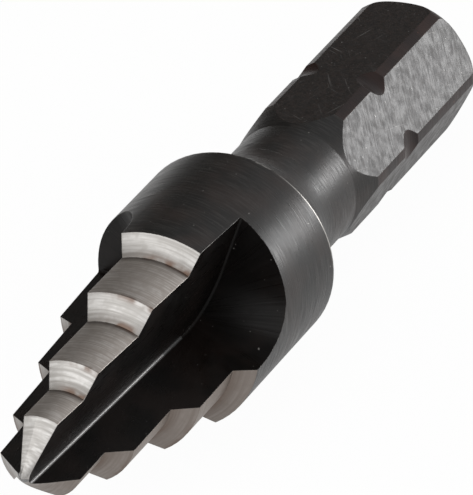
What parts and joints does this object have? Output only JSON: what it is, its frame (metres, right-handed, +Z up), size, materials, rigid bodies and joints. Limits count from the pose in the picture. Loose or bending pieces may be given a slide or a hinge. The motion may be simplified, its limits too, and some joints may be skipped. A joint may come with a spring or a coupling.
{
  "type": "step drill",
  "caption": "Short step drill: straight flutes, stepped cutting lands with conical shoulders, cylindrical body, turned waist and hexagonal quick-change shank with a retaining groove.",
  "frame": {"origin": "middle of the bounding box's underside, with the drill lying at rest", "axes": "+X from the point towards the shank end, along the length; +Z up, away from the surface the drill lies on; the drill's own axis runs along +X and slopes down towards the shank because the body is thicker than the shank"},
  "size_m": [0.0414, 0.0098, 0.0105],
  "materials": {
    "tool_steel": "black oxide tool steel, steps ground bright"
  },
  "bodies": {
    "root": {"step_drill": "tool_steel"}
  },
  "joints": []
}
